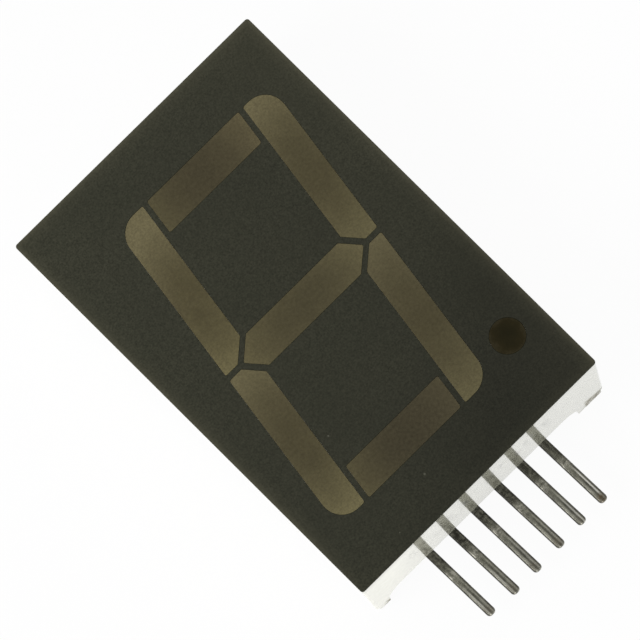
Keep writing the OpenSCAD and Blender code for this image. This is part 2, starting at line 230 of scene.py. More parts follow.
def shade(code):
    """The linear colour of an (R, G, B) reading from 0 to 255."""
    return tuple((c / 255 / 12.92) if c / 255 <= 0.04045 else ((c / 255 + 0.055) / 1.055) ** 2.4 for c in code)


print("patterns ready; white is", shade((255, 255, 255)))

# %% Floor
WHITE = (1, 1, 1, 1)
FLOOR_SIZE, FLOOR_GREY, FLOOR_WHITE_SHARE = 6, 0.9, 0.95
bpy.ops.mesh.primitive_plane_add(size=FLOOR_SIZE, location=(0, 0, 0))
floor = bpy.context.object
floor.name = "floor"
floor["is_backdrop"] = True
floor_paint, tree, shader = start_material("white_ground")
fill(tree, shader, {"Base Color": (FLOOR_GREY, FLOOR_GREY, FLOOR_GREY, 1), "Roughness": 0.9,
                    "Specular IOR Level": 0})
rays = node(tree, "LightPath").outputs
seen = math_node(tree, "MAXIMUM", rays["Is Camera Ray"], rays["Is Glossy Ray"])
seen = math_node(tree, "MAXIMUM", seen, rays["Is Transmission Ray"])
white = node(tree, "Emission", {"Color": WHITE, "Strength": 1.0})
both = node(tree, "MixShader", {0: times(tree, seen, FLOOR_WHITE_SHARE), 1: shader.outputs[0],
                                2: white.outputs[0]})
fill(tree, tree.nodes["Material Output"], {"Surface": both.outputs[0]})
floor.data.materials.append(floor_paint)
print("floor of", floor.dimensions.x, "m")

# %% World
ROOM_LIGHT = 0.42
world = bpy.data.worlds.new("soft_room")
bpy.context.scene.world = world
world.use_nodes = True
tree = world.node_tree
room = tree.nodes["Background"]
fill(tree, room, {"Color": WHITE, "Strength": ROOM_LIGHT})
backdrop = node(tree, "Background", {"Color": WHITE, "Strength": 1.0})
both = node(tree, "MixShader", {0: node(tree, "LightPath").outputs["Is Camera Ray"], 1: room.outputs[0],
                                2: backdrop.outputs[0]})
fill(tree, tree.nodes["World Output"], {"Surface": both.outputs[0]})
bpy.context.scene.view_settings.view_transform = "Standard"
print("room light", ROOM_LIGHT)

# %% Lamps
LAMP_SIZE = 0.4
LAMPS = {"lamp_left": ((-0.5, 0.1, 0.5), 2.6), "lamp_far": ((0.1, 0.5, 0.5), 0.8),
         "lamp_low": ((-0.25, -0.7, 0.2), 2.0)}
for name, (place, power) in LAMPS.items():
    bpy.ops.object.light_add(type="AREA", location=place)
    lamp = bpy.context.object
    lamp.name = name
    lamp.data.shape, lamp.data.size, lamp.data.energy = "SQUARE", LAMP_SIZE, power
    lamp.rotation_euler = (BODY_MIDDLE - Vector(place)).to_track_quat("-Z", "Y").to_euler()
print("lamps:", list(LAMPS))

# %% [markdown]
# ## Modelling helpers
# Each new piece starts as a primitive at its size and place, and is shaped in edit mode. An
# operator works on whatever is selected, so each step first picks its faces, edges or corners
# by where they are. A piece's object stays at the origin, and its place is in its mesh.

# %% Places in the body's own millimetres
TOUCH = 0.01  # points closer than this are taken to be in one place


def at(x, y, z):
    """A point given in mm from the middle of the body, in metres in the shared frame."""
    return Vector((x * MM, y * MM + BODY_Y, z * MM))


def mm(point):
    """The same the other way round: (x, y, z) in mm from the middle of the body."""
    return point.x / MM, (point.y - BODY_Y) / MM, point.z / MM


def centre(element):
    """Middle of an edge or a face, in mm from the middle of the body."""
    points = [v.co for v in element.verts]
    return mm(sum(points, Vector()) / len(points))


print("middle of the face is at", [round(v, 5) for v in at(0, 0, 11)])

# %% Picking
def pick(kind, test):
    """In edit mode, selects only the verts, edges or faces that pass the test. Says how many."""
    bpy.ops.mesh.select_mode(type={"verts": "VERT", "edges": "EDGE", "faces": "FACE"}[kind])
    bpy.ops.mesh.select_all(action="DESELECT")
    mesh = bmesh.from_edit_mesh(bpy.context.object.data)
    mesh.normal_update()
    chosen = [e for e in getattr(mesh, kind) if test(e)]
    for e in chosen:
        e.select_set(True)
    mesh.select_flush_mode()
    bmesh.update_edit_mesh(bpy.context.object.data)
    return len(chosen)


def along(edge, axis, least=0.999):
    """True if an edge runs along that axis."""
    line = (edge.verts[1].co - edge.verts[0].co).normalized()
    return abs(line[axis]) > least


def upright(edge):
    """True if an edge stands upright."""
    return along(edge, 2)


def on_top(edge):
    """True for an edge between two faces that lies as high as the display's face."""
    return all(v.co.z > BODY_H - TOUCH * MM for v in edge.verts) and len(edge.link_faces) == 2


def is_up(face_):
    """True if a face looks up."""
    return face_.normal.z > 0.9


def is_down(face_):
    """True if a face looks down."""
    return face_.normal.z < -0.9


print("tests ready")

# %% Starting a piece
def select_only(piece):
    """Selects a piece alone and makes it the active one."""
    bpy.ops.object.select_all(action="DESELECT")
    bpy.context.view_layer.objects.active = piece
    piece.select_set(True)


def edit(piece):
    """Selects a piece alone and enters edit mode."""
    select_only(piece)
    bpy.ops.object.mode_set(mode="EDIT")


def done():
    """Back to object mode."""
    bpy.ops.object.mode_set(mode="OBJECT")


def started(name):
    """Names the new primitive, and puts its place and scale into its mesh."""
    made = bpy.context.object
    made.name = made.data.name = name
    bpy.ops.object.transform_apply(location=True, rotation=True, scale=True)
    return made


def block(name, low, high):
    """A box between two corners given in mm, in edit mode."""
    a, b = at(*low), at(*high)
    bpy.ops.object.select_all(action="DESELECT")
    bpy.ops.mesh.primitive_cube_add(size=1, location=(a + b) / 2)
    bpy.context.object.scale = b - a
    made = started(name)
    edit(made)
    return made


def disc(name, sides, diameter, middle):
    """A flat plate with that many sides, its diameter and its middle in mm."""
    bpy.ops.object.select_all(action="DESELECT")
    bpy.ops.mesh.primitive_circle_add(vertices=sides, radius=diameter / 2 * MM, fill_type="NGON",
                                      location=at(*middle))
    return started(name)


def cylinder(name, sides, diameter, height, middle):
    """An upright cylinder, its sizes and its middle in mm."""
    bpy.ops.object.select_all(action="DESELECT")
    bpy.ops.mesh.primitive_cylinder_add(vertices=sides, radius=diameter / 2 * MM, depth=height * MM,
                                        location=at(*middle))
    return started(name)


print("starts ready")

# %% Shaping in edit mode
def bevel(test, offset, segments, kind="edges"):
    """Bevels the edges, or the verts, that pass the test, by an offset in mm."""
    pick(kind, test)
    bpy.ops.mesh.bevel(offset=offset * MM, segments=segments, affect="VERTICES" if kind == "verts" else "EDGES")


def extrude(height):
    """Extrudes what is selected upwards by a height in mm, or downwards if it is negative."""
    bpy.ops.mesh.extrude_region_move(TRANSFORM_OT_translate={"value": (0, 0, height * MM)})


def squeeze(x_share, y_share, middle):
    """Scales what is selected in x and y about a point given in mm."""
    bpy.ops.transform.resize(value=(x_share, y_share, 1), center_override=at(*middle))


def merge():
    """Merges all points that lie in one place."""
    bpy.ops.mesh.select_all(action="SELECT")
    bpy.ops.mesh.remove_doubles(threshold=TOUCH / 10 * MM)


def turn_outwards():
    """Makes all faces point outwards."""
    bpy.ops.mesh.select_all(action="SELECT")
    bpy.ops.mesh.normals_make_consistent(inside=False)


print("shaping ready")

# %% Working on whole pieces
def apply_modifier(piece, kind, **settings):
    """Adds a modifier with these settings and applies it."""
    select_only(piece)
    made = piece.modifiers.new(kind.lower(), kind)
    for key, value in settings.items():
        setattr(made, key, value)
    bpy.ops.object.modifier_apply(modifier=made.name)


def cut(piece, cutter, keep_cutter=False, operation="DIFFERENCE"):
    """Takes a cutter out of a piece, or adds it."""
    apply_modifier(piece, "BOOLEAN", object=cutter, operation=operation, solver="EXACT")
    if not keep_cutter:
        bpy.data.objects.remove(cutter)


def smooth(piece, degrees):
    """Smooth shading: sharper edges than that stay crisp, and large flat faces stay flat."""
    select_only(piece)
    bpy.ops.object.shade_smooth_by_angle(angle=math.radians(degrees))
    apply_modifier(piece, "WEIGHTED_NORMAL", keep_sharp=True, weight=90)


def copy_of(piece, name, x=0, y=0):
    """A copy with its own mesh, moved by x and y in mm."""
    made = piece.copy()
    made.data = piece.data.copy()
    made.name = made.data.name = name
    if x or y:
        made.data.transform(Matrix.Translation((x * MM, y * MM, 0)))
    bpy.context.collection.objects.link(made)
    return made


def joined(pieces, name):
    """Several separate pieces as one object."""
    select_only(pieces[0])
    for piece in pieces:
        piece.select_set(True)
    bpy.ops.object.join()
    pieces[0].name = pieces[0].data.name = name
    return pieces[0]


def stand_for(piece, *names):
    """The piece rides on the body and is shown instead of these CAD nodes."""
    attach(piece, "root")
    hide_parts(*names)


print("modelling helpers ready")

# %% [markdown]
# ## The cast bars
# On the real display each bar is tinted resin, cast into a well of the white box: straight
# where it passes the dark face, then narrower towards the light sources under it. An outline
# could be drawn as a curve, but a flat polygon with one corner for each corner of the bar is
# quicker: its corners are rounded by a corner bevel, it is leaned like the digit, and two
# extrusions give it its depth, the second one narrowing on the way down.

# %% Sizes of the digit
HALF_W, HALF_H, BAR_W, BAR_T, GAP = 8.25, 14.5, 2.78, 3.05, 0.48
DIGIT_AT = (-0.05, 0.05)
WELL_NARROW, WELL_SHORT, WELL_Z, FILM_T = 0.66, 0.9, 4.2, 0.25
SMALL_R, BIG_R, ACUTE_R = 0.15, 1.7, 2.2
half_bar = HALF_W - BAR_W - GAP
joint_x = HALF_W - BAR_W / 2
mitre = GAP / math.sqrt(2)
tip_x = joint_x - mitre
half_t = BAR_T / 2


def leaned(x, y):
    """A point of the upright digit, leaned and set on the face."""
    return x + y * SLANT + DIGIT_AT[0], y + DIGIT_AT[1]


print("top right of the digit:", [round(v, 2) for v in leaned(HALF_W, HALF_H)])

# %% Outlines of the seven bars
LEVEL = [(-half_bar, HALF_H - BAR_T, SMALL_R), (half_bar, HALF_H - BAR_T, SMALL_R),
         (half_bar, HALF_H, SMALL_R), (-half_bar, HALF_H, SMALL_R)]
UPRIGHT = [(-HALF_W, GAP / 2, SMALL_R), (GAP / 2 - joint_x - mitre, GAP / 2, SMALL_R),
           (BAR_W - HALF_W, BAR_W - HALF_W + joint_x + mitre, SMALL_R),
           (BAR_W - HALF_W, HALF_H, SMALL_R), (-HALF_W, HALF_H, BIG_R)]
MIDDLE = [(-tip_x, 0, SMALL_R), (half_t - tip_x, half_t, SMALL_R), (tip_x - half_t, half_t, SMALL_R),
          (tip_x, 0, SMALL_R), (tip_x - half_t, -half_t, SMALL_R), (half_t - tip_x, -half_t, SMALL_R)]


def flipped(outline, side, end):
    """The same outline on another side or end of the digit."""
    return [(x * side, y * end, r) for x, y, r in outline]


OUTLINES = {"a": LEVEL, "b": flipped(UPRIGHT, -1, 1), "c": flipped(UPRIGHT, -1, -1),
            "d": flipped(LEVEL, 1, -1), "e": flipped(UPRIGHT, 1, -1), "f": UPRIGHT, "g": MIDDLE}
for letter in "be":  # the lean makes these two corners acute, and they are rounder
    x, y, _ = OUTLINES[letter][-1]
    OUTLINES[letter][-1] = (x, y, ACUTE_R)
BAR_MIDDLE = {"a": (0, HALF_H - half_t), "b": (joint_x, HALF_H / 2), "c": (joint_x, -HALF_H / 2),
              "d": (0, half_t - HALF_H), "e": (-joint_x, -HALF_H / 2), "f": (-joint_x, HALF_H / 2),
              "g": (0, 0)}
print("corners:", {letter: len(outline) for letter, outline in OUTLINES.items()})

# %% One bar
def flat_outline(name, outline):
    """A polygon as high as the face, with rounded corners, leaned like the digit. Left in edit mode."""
    made = disc(name, len(outline), 1, (0, 0, 0))
    for vertex, (x, y, _) in zip(made.data.vertices, outline):
        vertex.co = at(x, y, BODY_H / MM)
    edit(made)
    turn_outwards()
    for i, (x, y, r) in enumerate(outline):
        before, after = outline[i - 1], outline[(i + 1) % len(outline)]
        u = Vector((before[0] - x, before[1] - y)).normalized()
        w = Vector((after[0] - x, after[1] - y)).normalized()
        reach = r / math.tan(u.angle(w) / 2)
        corner = at(x, y, BODY_H / MM)
        bevel(lambda v: (v.co - corner).length < TOUCH * MM, reach, 10 if r > SMALL_R else 3, "verts")
    done()
    for vertex in made.data.vertices:
        x, y, z = mm(vertex.co)
        vertex.co = at(*leaned(x, y), z)
    edit(made)
    return made


def deepen(middle, narrow_x, narrow_y):
    """From a flat outline down through the face, then narrowing to the foot of the well."""
    bpy.ops.mesh.select_mode(type="FACE")
    bpy.ops.mesh.select_all(action="SELECT")
    extrude(-FILM_T)
    extrude(WELL_Z + FILM_T - BODY_H / MM)
    squeeze(narrow_x, narrow_y, (*middle, WELL_Z))
    turn_outwards()
    done()


bars = {}
for letter, outline in OUTLINES.items():
    bars[letter] = flat_outline("bar_" + letter, outline)
    narrow = (WELL_SHORT, WELL_NARROW) if letter in "adg" else (WELL_NARROW, WELL_SHORT)
    deepen(leaned(*BAR_MIDDLE[letter]), *narrow)
print("bars:", {letter: len(bar.data.polygons) for letter, bar in bars.items()})

# %% The decimal point
POINT_AT, POINT_D = (9.3, DIGIT_AT[1] - HALF_H + 1.4), 2.9
point = disc("point", 64, POINT_D, (*POINT_AT, BODY_H / MM))
edit(point)
deepen(POINT_AT, WELL_NARROW, WELL_NARROW)
print("point:", len(point.data.polygons), "faces")

# %% Cutters for the windows and the wells
WINDOW_GAP = 0.02


def grown_copy(piece, name, extra_mm, lift_mm=1):
    """A copy made fatter by a clearance, with its top raised, to cut the piece's own hole."""
    made = copy_of(piece, name)
    edit(made)
    if extra_mm:
        bpy.ops.mesh.select_all(action="SELECT")
        bpy.ops.transform.shrink_fatten(value=extra_mm * MM)
    pick("faces", is_up)
    bpy.ops.transform.translate(value=(0, 0, lift_mm * MM))
    done()
    return made


cast = list(bars.values()) + [point]
window_cutter = joined([grown_copy(p, "cut_" + p.name, WINDOW_GAP) for p in cast], "window_cutter")
well_cutter = joined([grown_copy(p, "well_" + p.name, 0) for p in cast], "well_cutter")
print("cutters:", len(window_cutter.data.polygons), len(well_cutter.data.polygons), "faces")

# %% Soften the rims of the cast pieces
CAST_ROUND = 0.03
for piece in cast:
    edit(piece)
    bevel(on_top, CAST_ROUND, 2)
    done()
    smooth(piece, 30)
for letter, bar in bars.items():
    stand_for(bar, "segment_" + letter)
stand_for(point, "decimal_point")
print("cast pieces in place:", len(cast))

# %% [markdown]
# ## The dark face
# The face is a thin printed layer with a window for each bar. It starts as a flat block. Its
# upright corners are bevelled, then its upper rim is rounded a little, and the windows are
# cut by fattened copies of the cast pieces, which leaves the hair-thin gap that the real ones have.

# %% Face
CORNER_R, FACE_ROUND = 0.25, 0.05
half_x, half_y = BODY_W / MM / 2, BODY_L / MM / 2
face = block("face", (-half_x, -half_y, FILM_Z / MM), (half_x, half_y, BODY_H / MM))
bevel(upright, CORNER_R, 5)
bevel(on_top, FACE_ROUND, 2)
done()
cut(face, window_cutter)
smooth(face, 30)
stand_for(face, "face_film")
print("face:", len(face.data.polygons), "faces")

# %% [markdown]
# ## The white box
# One moulding makes the outer walls, the wells, the seat of the board, the recess that lets
# the pins out, the small pads on the back edge and the pegs that hold the board. It is built
# as such a box is thought of: a block, drafted so that it leaves its mould, hollowed from the
# back by inset and extrude, and then cut. Small roundings come from a Bevel modifier, before
# the wells are cut, so that the wells keep their crisp rims under the face. The block starts
# too high, and what stands above the face's underside is cut off last, so that this rim stays
# crisp too.

# %% Block, draft and room for the board
SIDE_DRAFT, END_DRAFT, WALL, LEDGE = 0.3, 0.1, 1.2, 0.6
FOOT_H, BOARD_TOP, TOO_HIGH = 0.8, 4.1, 1.0
box = block("box", (-half_x, -half_y, FOOT_H), (half_x, half_y, FILM_Z / MM))
pick("verts", lambda v: v.co.z < BODY_H / 2)
squeeze(1 - SIDE_DRAFT / half_x, 1 - END_DRAFT / half_y, (0, 0, FOOT_H))
pick("faces", is_up)
extrude(TOO_HIGH)
pick("faces", is_down)
bpy.ops.mesh.inset(thickness=WALL * MM)
extrude(BOARD_TOP - FOOT_H)
bpy.ops.mesh.inset(thickness=LEDGE * MM)
extrude(WELL_Z - BOARD_TOP)
done()
print("box:", len(box.data.polygons), "faces")

# %% Recess for the pins
RECESS_LEFT, RECESS_RIGHT, RECESS_TOP, RECESS_R = 1.702, 3.099, 2.5, 1.6
recess_from, recess_to = RECESS_LEFT - half_x, half_x - RECESS_RIGHT
recess = block("recess", (recess_from, -half_y - 1, -1),
               (recess_to, 0.5 - half_y + END_DRAFT + WALL, RECESS_TOP))
bevel(lambda e: along(e, 1) and centre(e)[2] > 1, RECESS_R, 12)
done()
cut(box, recess)
print("box with recess:", len(box.data.polygons), "faces")

# %% Places of the pads on the back edge
PAD_T, PAD_INSET, SIDE_PAD_L, SIDE_PAD_AT = 0.9, 0.6, 1.3, 0.25
pad_x = half_x - SIDE_DRAFT - PAD_T
pad_y = half_y - END_DRAFT - PAD_T
pad_end = half_x - PAD_INSET
side_y = (0.5 - SIDE_PAD_AT) * 2 * half_y
x_cuts = [-pad_end, recess_from, recess_to, pad_end, -pad_x, pad_x]
y_cuts = [s * (side_y + t * SIDE_PAD_L / 2) for s in (-1, 1) for t in (-1, 1)] + [-pad_y, pad_y]


def is_back(face_):
    """True for the faces of the box's back edge."""
    return is_down(face_) and centre(face_)[2] < FOOT_H + 0.1


def is_pad(face_):
    """True for the faces of the back edge that a pad grows from."""
    x, y, _ = centre(face_)
    end_pad = abs(y) > pad_y and (-pad_end < x < recess_from or recess_to < x < pad_end)
    side_pad = abs(x) > pad_x and abs(abs(y) - side_y) < SIDE_PAD_L / 2
    return is_back(face_) and (end_pad or side_pad)


print("cuts across the back edge:", len(x_cuts) + len(y_cuts))

# %% Pads on the back edge
edit(box)
for cuts, direction in ((x_cuts, (1, 0, 0)), (y_cuts, (0, 1, 0))):
    for value in cuts:
        pick("faces", is_back)
        bpy.ops.mesh.bisect(plane_co=at(value, value, 0), plane_no=direction)
grown = pick("faces", is_pad)
extrude(-FOOT_H)
bpy.ops.mesh.select_all(action="SELECT")
bpy.ops.mesh.dissolve_limited(angle_limit=math.radians(0.5))
done()
print("pads grown from", grown, "faces")

# %% Corners and small roundings
BOX_ROUND = 0.08


def is_corner(edge):
    """True for the edges of the four outer corners, which stand nearly upright."""
    x, y, _ = centre(edge)
    outermost = abs(x) > half_x - SIDE_DRAFT - 0.05 and abs(y) > half_y - END_DRAFT - 0.05
    return outermost and along(edge, 2, 0.9)


edit(box)
bevel(is_corner, CORNER_R, 5)
done()
apply_modifier(box, "BEVEL", width=BOX_ROUND * MM, segments=2, limit_method="ANGLE",
               angle_limit=math.radians(40))
edit(box)
bpy.ops.mesh.select_all(action="SELECT")
bpy.ops.mesh.bisect(plane_co=(0, 0, FILM_Z), plane_no=(0, 0, 1), use_fill=True, clear_outer=True)
done()
print("box with roundings:", len(box.data.polygons), "faces")

# %% Wells
cut(box, well_cutter)
print("box with wells:", len(box.data.polygons), "faces")

# %% Pegs that hold the board
PEG_AT, PEG_D, HEAD_D, HEAD_H, BOARD_Z = (9.84, 16.64), 1.32, 2.262, 0.6, 2.5
DOME_STEPS, DOME_FLAT = 8, 0.08
peg_top = WELL_Z + 0.05
peg_places = [(side * PEG_AT[0], end * PEG_AT[1]) for side in (-1, 1) for end in (-1, 1)]
peg = cylinder("peg", 40, PEG_D, peg_top - BOARD_Z, (0, 0, (peg_top + BOARD_Z) / 2))
edit(peg)
pick("faces", is_down)
extrude(0)
squeeze(HEAD_D / PEG_D, HEAD_D / PEG_D, (0, 0, BOARD_Z))
width, depth = 1, 0
for step in range(1, DOME_STEPS + 1):
    turned = math.radians(90 * step / DOME_STEPS)
    next_width, next_depth = max(math.cos(turned), DOME_FLAT), math.sin(turned)
    extrude(HEAD_H * (depth - next_depth))
    squeeze(next_width / width, next_width / width, (0, 0, 0))
    width, depth = next_width, next_depth
merge()
turn_outwards()
done()
for x, y in peg_places:
    cut(box, copy_of(peg, "peg_copy", x, y), operation="UNION")
bpy.data.objects.remove(peg)
smooth(box, 30)
stand_for(box, "housing")
print("box with pegs:", len(box.data.polygons), "faces")

# %% [markdown]
# ## The circuit board
# The board closes the back of the box. It is a plain plate with two sorts of holes: large ones
# that the pegs pass through, and plated ones that carry the current from side to side. The
# copper itself is already exact in the CAD model, so it only gets a finish. What the model
# can't show is where the green mask leaves the copper bare and tinned: round each plated hole,
# and on the pads under the pins. Those are thin pieces of their own here.

# %% Board
BOARD_GAP, BOARD_T, COPPER_T = 0.15, 1.6, 0.05
PEG_ROOM, VIA_HOLE = 0.1, 0.6
room_x = half_x - SIDE_DRAFT - WALL
room_y = half_y - END_DRAFT - WALL
board = block("board", (BOARD_GAP - room_x, BOARD_GAP - room_y, BOARD_Z),
              (room_x - BOARD_GAP, room_y - BOARD_GAP, BOARD_Z + BOARD_T))
bevel(upright, 0.2, 3)
bevel(lambda e: not upright(e), 0.04, 1)
done()
print("board:", len(board.data.polygons), "faces")

# %% Holes in the board
def drill(plate, places, size):
    """Cuts round holes of that size through a plate at these (x, y) places."""
    cut(plate, joined([cylinder("bit", 32, size, 8, (x, y, 3)) for x, y in places], "bits"))


def via_places():
    """Middles of the plated holes, from the loose shells of the CAD node."""
    edit(copy_of(nodes["via_barrels"], "probe"))
    merge()
    bpy.ops.mesh.separate(type="LOOSE")
    done()
    found = []
    for shell in list(bpy.context.selected_objects):
        points = [mm(v.co) for v in shell.data.vertices]
        spans = [[p[i] for p in points] for i in (0, 1)]
        found.append(tuple(round((min(span) + max(span)) / 2, 3) for span in spans))
        bpy.data.objects.remove(shell)
    return sorted(found)


vias = via_places()
drill(board, peg_places, PEG_D + PEG_ROOM)
drill(board, vias, VIA_HOLE)
smooth(board, 30)
stand_for(board, "circuit_board")
print("plated holes:", len(vias), "board faces:", len(board.data.polygons))

# %% Tinned rings round the plated holes
RING_D, RING_T, RING_W = 0.96, 0.03, 0.24
copper_z = BOARD_Z - COPPER_T


def ring_rim(edge):
    """True for the two sharp rims of the ring's lower side."""
    low = all(v.co.z < (copper_z - RING_T / 2) * MM for v in edge.verts)
    return low and len(edge.link_faces) == 2 and edge.calc_face_angle(0) > 1


ring = cylinder("ring", 32, RING_D, RING_T, (0, 0, copper_z - RING_T / 2))
edit(ring)
pick("faces", lambda f: is_up(f) or is_down(f))
bpy.ops.mesh.inset(thickness=RING_W * MM)
bpy.ops.mesh.bridge_edge_loops()
bevel(ring_rim, RING_T / 2, 2)
done()
rings = [copy_of(ring, "ring_copy", x, y) for x, y in vias]
bpy.data.objects.remove(ring)
via_rings = joined(rings, "via_rings")
smooth(via_rings, 30)
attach(via_rings, "root")
print("rings:", len(rings), "faces:", len(via_rings.data.polygons))

# %% Places of the pins
PIN_PITCH, ROW_X, PIN_W, PIN_T, PIN_LAP, PIN_OUT = 2.54, -0.28, 0.8, 0.5, 2.6, 6.8
# for each pin: how far it is off an even row, how many degrees it leans, how much longer it is
PIN_SET = (0.13, 0, -0.06, -0.08, -0.15, -0.26)
PIN_LEAN = (1.1, 1.7, 1.4, 1.8, 1.7, 1.4)
PIN_TRIM = (-0.01, 0.14, 0.12, 0.03, -0.08, -0.14)
board_foot = BOARD_GAP - room_y
pin_x = [ROW_X + (k - 2.5) * PIN_PITCH + PIN_SET[k] for k in range(6)]
print("pins at x", [round(x, 2) for x in pin_x])

# %% Tinned pads under the pins
SOLDER_W, SOLDER_END, PAD_OVER, SEAT = 0.4, 0.3, 0.4, 0.02
PAD_RIM, PAD_START = 0.06, 0.21
pad_half = PIN_W / 2 + SOLDER_W - PAD_RIM
pads = []
for x in pin_x:
    pads.append(block("pad", (x - pad_half, board_foot + PAD_START, copper_z - SEAT),
                      (x + pad_half, board_foot + PIN_LAP + PAD_OVER - PAD_RIM, copper_z)))
    bevel(upright, 0.12, 3)
    done()
tinned_pads = joined(pads, "tinned_pads")
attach(tinned_pads, "root")
print("pads:", len(pads))

# %% [markdown]
# ## The pins
# A pin is a strip of tinned metal, cut off square and tumbled, so its long edges and its end are
# round. One pin is modelled: a block whose end is rounded in plan first, and whose outline is
# then rounded all along, top and bottom. It is copied six times. As found, each pin leans a
# little and is cut a little longer or shorter than the next.

# %% Six pins
TIP_R, EDGE_R = 0.31, 0.19
PIN_Z = copper_z - PIN_T
pin_long = PIN_LAP + END_DRAFT + WALL + BOARD_GAP + PIN_OUT


def set_out(piece, k):
    """Leans a piece that was made in the body's middle like pin k, and moves it to that pin's root."""
    lean = Matrix.Rotation(math.radians(PIN_LEAN[k]), 4, "Z")
    leaning = Matrix.Translation(BODY_MIDDLE) @ lean @ Matrix.Translation(-BODY_MIDDLE)
    piece.data.transform(Matrix.Translation((pin_x[k] * MM, (board_foot + PIN_LAP) * MM, 0)) @ leaning)


first = block("pin", (-PIN_W / 2, -pin_long, PIN_Z), (PIN_W / 2, 0, PIN_Z + PIN_T))
bevel(lambda e: upright(e) and centre(e)[1] < -1, TIP_R, 8)
bevel(lambda e: not upright(e) and centre(e)[1] < -TOUCH, EDGE_R, 5)
done()
smooth(first, 40)
pins = []
for k, trim in enumerate(PIN_TRIM):
    pin = copy_of(first, "lead_%d" % (k + 1))
    for vertex in pin.data.vertices:
        if mm(vertex.co)[1] < -1:
            vertex.co.y -= trim * MM
    set_out(pin, k)
    stand_for(pin, "pin_%d" % (k + 1))
    pins.append(pin)
bpy.data.objects.remove(first)
print("pins:", len(pins), "faces each:", len(pins[0].data.polygons), "length in mm:", pin_long)

# %% [markdown]
# ## The solder joints
# Solder wets the pad and the pin's sides, and its surface sinks in between them. Such a hollow
# fillet could be sculpted, but here it is a block that gets narrower in steps as it rises from
# the pad, fast at first and then slowly. One is modelled and copied six times, and each pin's
# own shape is cut out of its joint.

# %% Six joints
JOINT_STEPS = ((0.06, 0.80), (0.08, 0.84), (0.10, 0.90), (0.14, 0.955))  # rise, and share of the width kept
joint_w, joint_y = PIN_W / 2 + SOLDER_W, PAD_OVER - PIN_LAP
first = block("joint", (-joint_w, joint_y, copper_z - SEAT), (joint_w, SOLDER_END, copper_z))
bevel(upright, 0.15, 3)
pick("faces", is_down)
for rise, share in JOINT_STEPS:
    extrude(-rise)
    squeeze(share, 0.5 + share / 2, (0, joint_y * 0.6, 0))
done()
joints = []
for k, pin in enumerate(pins):
    joint = copy_of(first, "joint_%d" % (k + 1))
    set_out(joint, k)
    cut(joint, pin, keep_cutter=True)
    smooth(joint, 50)
    stand_for(joint, "solder_%d" % (k + 1))
    joints.append(joint)
bpy.data.objects.remove(first)
print("joints:", len(joints), "faces each:", len(joints[0].data.polygons))

# %% [markdown]
# ## Finishes
# Each finish is one material. The nodes read Object coordinates, so the grain keeps its real
# size in millimetres wherever it is used. A new piece gets its finish added. A CAD node has a slot
# already, and its finish is swapped.

# %% Giving a finish
def wear(pieces, material):
    """Gives pieces a finish in place of any they have."""
    for piece in pieces:
        piece.data.materials.clear()
        piece.data.materials.append(material)


def cad(*names):
    """CAD nodes by name."""
    return [nodes[name] for name in names]


# %% [markdown]
# ## Finish of the face
# The face is a matt print, nearly black and a little olive. From close by it has a fine
# grain and a few specks of dust. Painted shade makes it darkest towards the digit's lower right,
# and it is worn a little paler within a millimetre of its rim and down its right side. Noise makes
# the grain, a ramp over x minus y the painted shade from corner to corner, and the distance to the
# nearest rim the wear. The specks are cells of a Voronoi pattern whose random value is rare.

# %% Printed face
INK_DARK, INK_PALE, INK_PATCH = shade((36, 37, 28)), shade((69, 69, 56)), shade((47, 48, 38))
# the first colour on this line is painted shade, mixed in towards the digit's lower right
SHADE_BLACK, INK_WORN, DUST = (0.001, 0.001, 0.001), shade((118, 114, 92)), shade((96, 96, 84))


def specks(tree, where, size_mm, rare):
    """1 on small scattered dots, 0 elsewhere."""
    cells = node(tree, "TexVoronoi", {"Vector": where, "Scale": 1 / (size_mm * MM), "Randomness": 1.0})
    chosen = node(tree, "SeparateColor", {0: cells.outputs["Color"]})
    rare_cell = math_node(tree, "GREATER_THAN", chosen.outputs[0], 1 - rare)
    return times(tree, rare_cell, math_node(tree, "LESS_THAN", cells.outputs["Distance"], 0.28))


def face_wear(tree, x, y):
    """How worn: along the rim, but not at the lower left corner, and down the right side."""
    corner = plus(tree, x, y)
    to_side = minus(tree, half_x * MM, off(tree, x))
    rim = math_node(tree, "MINIMUM", to_side, minus(tree, half_y * MM, y))
    worn = plus(tree, ramp(tree, rim, 0.45, 0.05, 0.14), ramp(tree, rim, 1.3, 0.2, 0.07))
    worn = times(tree, worn, ramp(tree, corner, -33, -26))
    low_rim = times(tree, ramp(tree, y, 0.9 - half_y, 0.2 - half_y), ramp(tree, x, -4, 4, 0.035))
    return plus(tree, worn, low_rim, ramp(tree, x, 6, 11, 0.022), ramp(tree, corner, 15, 29, 0.02))


def finish_face():
    """Matt print with grain, patches, wear, dust and painted shade towards the lower right."""
    material, tree, shader = start_material("face_print")
    where = spot(tree)
    x, y, _ = xyz(tree, shifted(tree, where, BODY_MIDDLE))
    fine = grain(tree, where, 0.14, detail=1, low=0.1, high=0.9)
    broad = grain(tree, where, 6, detail=3)
    tone = mix_colour(tree, fine, INK_DARK, INK_PALE)
    tone = mix_colour(tree, times(tree, broad, 0.35), tone, INK_PATCH)
    slope = minus(tree, x, y)
    # painted shade: the face grows darker towards the digit's lower right
    painted_shade = plus(tree, ramp(tree, slope, -25, 10, 0.17), ramp(tree, slope, 10, 21, 0.26))
    tone = mix_colour(tree, painted_shade, tone, SHADE_BLACK)
    tone = mix_colour(tree, face_wear(tree, x, y), tone, INK_WORN)
    tone = mix_colour(tree, times(tree, specks(tree, where, 0.35, 0.0012), 0.6), tone, DUST)
    fill(tree, shader, {"Base Color": tone, "Roughness": 0.72, "Specular IOR Level": 0.12,
                        "Normal": bump(tree, 0.2, 0.01, fine)})
    return material


wear([face], finish_face())
print("face finished")

